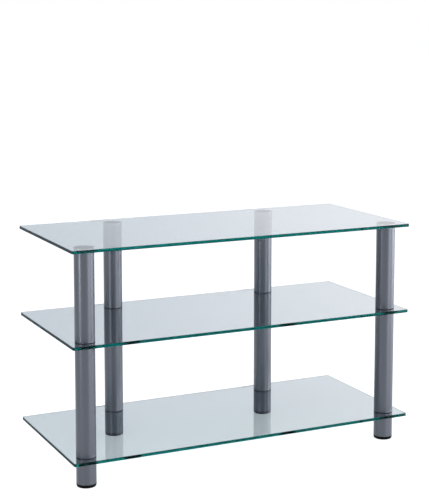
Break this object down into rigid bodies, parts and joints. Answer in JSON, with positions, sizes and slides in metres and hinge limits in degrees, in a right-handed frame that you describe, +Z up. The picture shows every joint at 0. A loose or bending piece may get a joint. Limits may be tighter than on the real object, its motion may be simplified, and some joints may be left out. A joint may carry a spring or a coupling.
{
  "type": "tv stand",
  "caption": "Free-standing television stand: rectangular clear glass shelves clamped one above another on round metal columns with levelling feet.",
  "frame": {"origin": "on the floor, below the centre of the shelves", "axes": "+X to the right along the front, +Y towards the back, +Z up"},
  "size_m": [0.95, 0.42, 0.594],
  "materials": {
    "clear_float_glass": "clear float glass with polished green edges",
    "satin_grey_aluminium": "satin grey anodised aluminium tube",
    "turned_aluminium": "turned aluminium with a bonding film on its glass face",
    "black_nylon": "moulded black nylon, fine matt grain",
    "zinc_plated_steel": "zinc-plated steel"
  },
  "bodies": {
    "stand": {"top_shelf": "clear_float_glass", "middle_shelf": "clear_float_glass", "bottom_shelf": "clear_float_glass", "coupling_nuts": "zinc_plated_steel", "clamp_washers": "zinc_plated_steel", "front_left_bonding_plate": "turned_aluminium", "front_left_rod": "zinc_plated_steel", "front_left_foot_socket": "black_nylon", "front_left_upper_tube": "satin_grey_aluminium", "front_left_middle_tube": "satin_grey_aluminium", "front_left_lower_tube": "satin_grey_aluminium", "front_left_upper_tube_lower_plug": "black_nylon", "front_left_middle_tube_upper_plug": "black_nylon", "front_left_middle_tube_lower_plug": "black_nylon", "front_left_lower_tube_upper_plug": "black_nylon", "front_right_bonding_plate": "turned_aluminium", "front_right_rod": "zinc_plated_steel", "front_right_foot_socket": "black_nylon", "front_right_upper_tube": "satin_grey_aluminium", "front_right_middle_tube": "satin_grey_aluminium", "front_right_lower_tube": "satin_grey_aluminium", "front_right_upper_tube_lower_plug": "black_nylon", "front_right_middle_tube_upper_plug": "black_nylon", "front_right_middle_tube_lower_plug": "black_nylon", "front_right_lower_tube_upper_plug": "black_nylon", "rear_left_bonding_plate": "turned_aluminium", "rear_left_rod": "zinc_plated_steel", "rear_left_foot_socket": "black_nylon", "rear_left_upper_tube": "satin_grey_aluminium", "rear_left_middle_tube": "satin_grey_aluminium", "rear_left_lower_tube": "satin_grey_aluminium", "rear_left_upper_tube_lower_plug": "black_nylon", "rear_left_middle_tube_upper_plug": "black_nylon", "rear_left_middle_tube_lower_plug": "black_nylon", "rear_left_lower_tube_upper_plug": "black_nylon", "rear_right_bonding_plate": "turned_aluminium", "rear_right_rod": "zinc_plated_steel", "rear_right_foot_socket": "black_nylon", "rear_right_upper_tube": "satin_grey_aluminium", "rear_right_middle_tube": "satin_grey_aluminium", "rear_right_lower_tube": "satin_grey_aluminium", "rear_right_upper_tube_lower_plug": "black_nylon", "rear_right_middle_tube_upper_plug": "black_nylon", "rear_right_middle_tube_lower_plug": "black_nylon", "rear_right_lower_tube_upper_plug": "black_nylon"},
    "front_left_foot": {"front_left_foot_glide": "black_nylon", "front_left_foot_bolt": "zinc_plated_steel"},
    "front_right_foot": {"front_right_foot_glide": "black_nylon", "front_right_foot_bolt": "zinc_plated_steel"},
    "rear_left_foot": {"rear_left_foot_glide": "black_nylon", "rear_left_foot_bolt": "zinc_plated_steel"},
    "rear_right_foot": {"rear_right_foot_glide": "black_nylon", "rear_right_foot_bolt": "zinc_plated_steel"}
  },
  "joints": [
    {"name": "front_left_foot_screw", "type": "slide", "parent": "stand", "child": "front_left_foot", "axis": [0, 0, -1], "range_m": [0, 0.008]},
    {"name": "front_right_foot_screw", "type": "slide", "parent": "stand", "child": "front_right_foot", "axis": [0, 0, -1], "range_m": [0, 0.008]},
    {"name": "rear_left_foot_screw", "type": "slide", "parent": "stand", "child": "rear_left_foot", "axis": [0, 0, -1], "range_m": [0, 0.008]},
    {"name": "rear_right_foot_screw", "type": "slide", "parent": "stand", "child": "rear_right_foot", "axis": [0, 0, -1], "range_m": [0, 0.008]}
  ]
}
